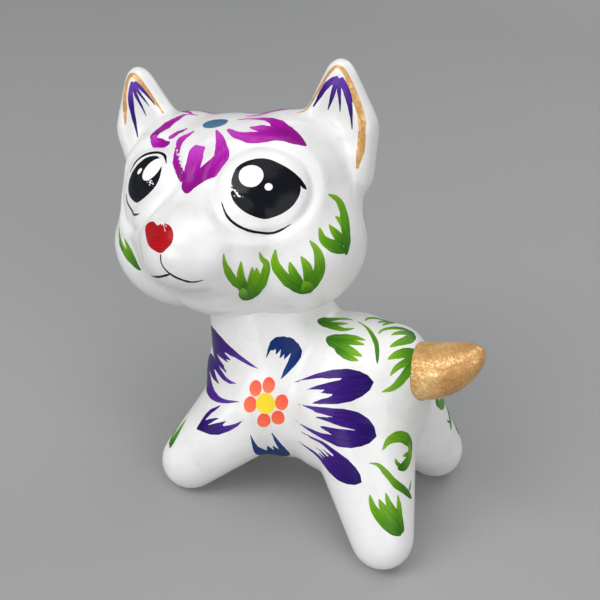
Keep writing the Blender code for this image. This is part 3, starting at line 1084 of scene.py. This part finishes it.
def paint_near_eye(black, white_layer):
    patch(black, (46, 24), NEAR_IRIS)
    chart = head_chart((27, 27), (46, 23.5), (62.5, 18.5))
    middle = chart.length / 2
    disc(white_layer, chart, (middle - 3.6, 3.7), (3.15, 3.0), seed=3.0, lift=HIGHLIGHT_LIFT)
    disc(white_layer, chart, (middle + 0.9, 0.8), (1.0, 0.95), seed=4.0, lift=HIGHLIGHT_LIFT)
    lid = head_chart((30, 36), (35, 39.5), (43, 40.5), (51, 38.5), (57, 33), (62, 26.5), (66.5, 18.5))
    line(black, lid, 0.75, LASH_LINE)
    under = head_chart((22, 20.5), (25, 13), (30, 8), (38, 4), (47, 2), (56, 5))
    line(black, under, 0.42, THIN_LINE)


def paint_far_eye(black, white_layer):
    patch(black, (-42, 30), FAR_IRIS)
    chart = head_chart((-50, 16), (-42, 29), (-35, 44))
    middle = chart.length / 2
    disc(white_layer, chart, (middle + 3.8, -0.2), (3.6, 2.5), seed=7.0, lift=HIGHLIGHT_LIFT)
    disc(white_layer, chart, (middle + 0.1, 3.2), (1.1, 0.8), seed=8.0, lift=HIGHLIGHT_LIFT)
    lid = head_chart((-59, 28), (-58, 35), (-54, 41), (-46, 45.5), (-37, 46), (-29, 42))
    line(black, lid, 0.5, THIN_LINE)
    under = head_chart((-55, 18), (-52, 14), (-47, 11.5), (-41, 10.5), (-35, 11.2), (-30, 12.5))
    line(black, under, 0.42, THIN_LINE)


NOSE = [(-16.5, 6.5), (-16, 8.8), (-13, 10.6), (-10, 10.5), (-7.5, 10.2), (-5, 11.2), (-1.5, 11.4), (2, 9.8)]
NOSE += [(3.6, 6.5), (3, 3.5), (0.8, 1.5), (-2, -0.4), (-5, 0.6), (-8.5, 2.2), (-13, 4.2)]


def paint_muzzle(black, red):
    patch(red, (-6, 6), NOSE)
    near_lip = head_chart((-2, 0), (-2, -4), (0, -7.5), (4, -10.8), (8, -12.8), (13, -12.5))
    line(black, near_lip, 0.42, MOUTH_LINE)
    far_lip = head_chart((-18, -13.5), (-11, -11.8), (-5, -10), (1.5, -7.6))
    line(black, far_lip, 0.42, THIN_LINE)


def paint_glints(white_layer):
    """Painted glints of the varnish on the eyes, the front petal of the crown and the nose."""
    glint_streak(white_layer, head_chart((28, 34), (28, 28), (31, 24), (35, 21)), 0.9, 3.0)
    glint_streak(white_layer, head_chart((-39, 55), (-25, 50), (-16, 45), (-10, 37)), 0.8, 9.0)
    glint_streak(white_layer, head_chart((-42, 33), (-36, 30), (-29, 27)), 0.7, 5.0)
    glint_streak(white_layer, head_chart((-5, 12.5), (-2, 10), (-1, 8)), 0.6, 17.0)


# The ears' strokes by x and z of the head's own frame: (half width, its path from the top).
EAR_FANS = [
    (0.95, (32.1, 35.6), (27.6, 33), (23.6, 28)),
    (0.7, (31.8, 35.2), (29.8, 31), (27.9, 26.5)),
    (0.6, (32.3, 35.2), (31.5, 30.5), (30.7, 25.8)),
    (1, (32.6, 35.6), (34.2, 30), (33.8, 21.5)),
    (0.9, (-30.7, 36.4), (-32.2, 29), (-32.4, 20)),
    (0.6, (-30.4, 36), (-29.8, 31), (-28.8, 25.5)),
    (0.5, (-30.2, 36), (-28.4, 32), (-26.6, 28.4)),
    (0.6, (-30, 36.4), (-27, 33.2), (-23.9, 29.4)),
]
NEAR_EAR_RIM = [(19.5, 27), (25.5, 33.2), (29, 37.3), (31.9, 39.2)]
NEAR_EAR_RIM += [(35.3, 36), (37.6, 26), (37, 18.7), (35.4, 12)]
FAR_EAR_RIM = [(-21.5, 28.2), (-26, 34.2), (-29.5, 38.2), (-32.2, 38.2), (-34.3, 33), (-35, 24)]


def paint_ears(purple, gold_layer):
    """A fan of strokes in each ear, and a gold line round its edge."""
    taper = [(0, 0.55), (0.15, 0.95), (0.35, 1), (0.7, 0.6), (1, 0.12)]
    for i, (width, *path) in enumerate(EAR_FANS):
        line(purple, ear_chart(*path), width, taper, i)
    near_widths = [(0, 0.3), (0.2, 0.42), (0.45, 0.6), (0.62, 0.95), (0.9, 1), (1, 0.3)]
    far_widths = [(0, 0.3), (0.4, 0.9), (0.8, 1), (1, 0.3)]
    line(gold_layer, ear_chart(*NEAR_EAR_RIM), 1.1, near_widths, 11.0)
    line(gold_layer, ear_chart(*FAR_EAR_RIM), 0.8, far_widths, 12.0)


# The tones of each paint, from a stroke's dry end to its loaded tip.
TONES = {
    "purple": ((0.14, 0.05, 0.38), (0.045, 0.009, 0.20), (0.014, 0.002, 0.10)),
    "blue": ((0.015, 0.075, 0.24), (0.008, 0.035, 0.18), (0.004, 0.018, 0.13)),
    "orange": ((1.0, 0.24, 0.09), (1.0, 0.15, 0.075), (0.98, 0.10, 0.06)),
    "yellow": ((1.0, 0.80, 0.06), (1.0, 0.74, 0.04), (1.0, 0.68, 0.03)),
    "green": ((0.22, 0.46, 0.012), (0.09, 0.29, 0.008), (0.03, 0.15, 0.008)),
    "magenta": ((0.56, 0.06, 0.55), (0.38, 0.003, 0.33), (0.24, 0.002, 0.21)),
    "grey_blue": ((0.09, 0.20, 0.34), (0.06, 0.15, 0.28), (0.04, 0.11, 0.22)),
    "black": ((0.012, 0.014, 0.02), (0.005, 0.006, 0.010), (0.002, 0.002, 0.004)),
    "red": ((0.52, 0.02, 0.03), (0.42, 0.003, 0.008), (0.30, 0.002, 0.005)),
    "white": (grey(0.92), grey(0.96), grey(0.90)),
}


def paint_everything():
    layers = {name: Layer() for name in (*TONES, "gold")}
    paint_body(*[layers[name] for name in ("purple", "blue", "orange", "yellow", "green")])
    bunch(layers["green"], head_chart, CHEEK_LEAVES, 9.0)
    for turn, rise in BACK_PLACES:
        moved = [(width, *[(az + turn, el + rise) for az, el in path]) for width, *path in BACK_LEAF]
        bunch(layers["green"], head_chart, moved, turn * 0.1)
    paint_crown(layers["magenta"], layers["grey_blue"])
    paint_near_eye(layers["black"], layers["white"])
    paint_far_eye(layers["black"], layers["white"])
    paint_muzzle(layers["black"], layers["red"])
    # Painted glints: white streaks where the varnish catches the light.
    paint_glints(layers["white"])
    paint_ears(layers["purple"], layers["gold"])
    for name in TONES:
        material = brushed_paint(name + "_brushed", TONES[name], 0.14 if name == "black" else 0.3)
        layers[name].build(name + "_strokes", material, name + "_paint")
    layers["gold"].build("gold_rims", gold, "gold_paint")


paint_everything()

# ---- The room: a pale floor, soft light, and the camera. Floor and lights are in metres ----
FLOOR_HALF_WIDTH = 1.6
FLOOR_FRONT = -1.2
FLOOR_BACK = 0.5
SWEEP_RADIUS = 0.4
WALL_TOP = 1.4
FLOOR_DROP = 0.0001  # keeps the floor just below the soles
FLOOR_TURN = 21.0
LIT_PLACE = Vector((0.0, 0.0, 0.06))
LIGHTS = [
    ("key", (-0.35, -0.55, 0.75), 0.55, 3.5),
    ("fill", (0.65, -0.45, 0.35), 0.6, 1.6),
    ("low", (-0.25, -0.75, 0.06), 0.5, 2.0),
    ("back", (0.2, 0.7, 0.6), 0.6, 1.6),
    ("top", (0.0, -0.1, 0.95), 0.7, 1.6),
]
# The camera, in millimetres from the stance.
CAMERA_PLACE = (76.4, -230.5, 205.4)
CAMERA_AIM = (-12.7, 1.6, 56.0)
CAMERA_ROLL = 8.0
CAMERA_LENS = 62.14


def stage_floor():
    """A pale sweep: a floor that curves up into a back wall."""
    bm = bmesh.new()
    profile = [(FLOOR_FRONT, 0.0), (FLOOR_BACK, 0.0)]
    for step in range(1, 13):
        angle = math.radians(90.0 * step / 12)
        rise = SWEEP_RADIUS - SWEEP_RADIUS * math.cos(angle)
        profile.append((FLOOR_BACK + SWEEP_RADIUS * math.sin(angle), rise))
    profile.append((FLOOR_BACK + SWEEP_RADIUS, WALL_TOP))
    edges = (-FLOOR_HALF_WIDTH, FLOOR_HALF_WIDTH)
    rows = [[bm.verts.new((x, y, z - FLOOR_DROP)) for x in edges] for y, z in profile]
    for near, far in zip(rows, rows[1:]):
        bm.faces.new((near[0], near[1], far[1], far[0]))
    mesh = bpy.data.meshes.new("floor")
    bm.to_mesh(mesh)
    bm.free()
    mesh.shade_smooth()
    floor = new_object("floor", mesh)
    floor.rotation_euler.z = math.radians(FLOOR_TURN)
    made, tree, shader = new_material("pale_floor", grey(0.5), 0.6)
    tone = noise(tree, 3.0, 2.0, 0.5, object_coordinates(tree))
    colour = ramp(tree, tone, [(0.3, grey(0.36)), (0.7, grey(0.38))])
    tree.links.new(colour, shader.inputs["Base Color"])
    mesh.materials.append(made)


def add_light(name, place, size, power):
    light = bpy.data.lights.new(name, "AREA")
    light.shape = "DISK"
    light.size = size
    light.energy = power
    made = new_object(name, light)
    made.location = place
    made.rotation_euler = (LIT_PLACE - Vector(place)).to_track_quat("-Z", "Y").to_euler()


def camera():
    """The camera stands above and to the tail side of the face, rolled a little."""
    place = (STANCE_CENTRE + Vector(CAMERA_PLACE)) * MM
    aim = (STANCE_CENTRE + Vector(CAMERA_AIM)) * MM
    back = (place - aim).normalized()
    level = Vector((0, 0, 1)).cross(back).normalized()
    above = back.cross(level)
    roll = math.radians(CAMERA_ROLL)
    right = level * math.cos(roll) + above * math.sin(roll)
    up = above * math.cos(roll) - level * math.sin(roll)
    made = new_object("camera", bpy.data.cameras.new("camera"))
    made.matrix_world = Matrix.Translation(place) @ Matrix((right, up, back)).transposed().to_4x4()
    made.data.sensor_width = 36.0
    made.data.lens = CAMERA_LENS
    made.data.clip_start = 0.01
    bpy.context.scene.camera = made


def room_light():
    """An even, slightly cool light from all round."""
    world = bpy.data.worlds.new("room")
    world.use_nodes = True
    background = world.node_tree.nodes["Background"]
    background.inputs["Color"].default_value = (0.85, 0.87, 0.9, 1.0)
    background.inputs["Strength"].default_value = 0.42
    bpy.context.scene.world = world


stage_floor()
for light in LIGHTS:
    add_light(*light)
room_light()
bpy.context.scene.view_settings.view_transform = "Standard"
camera()
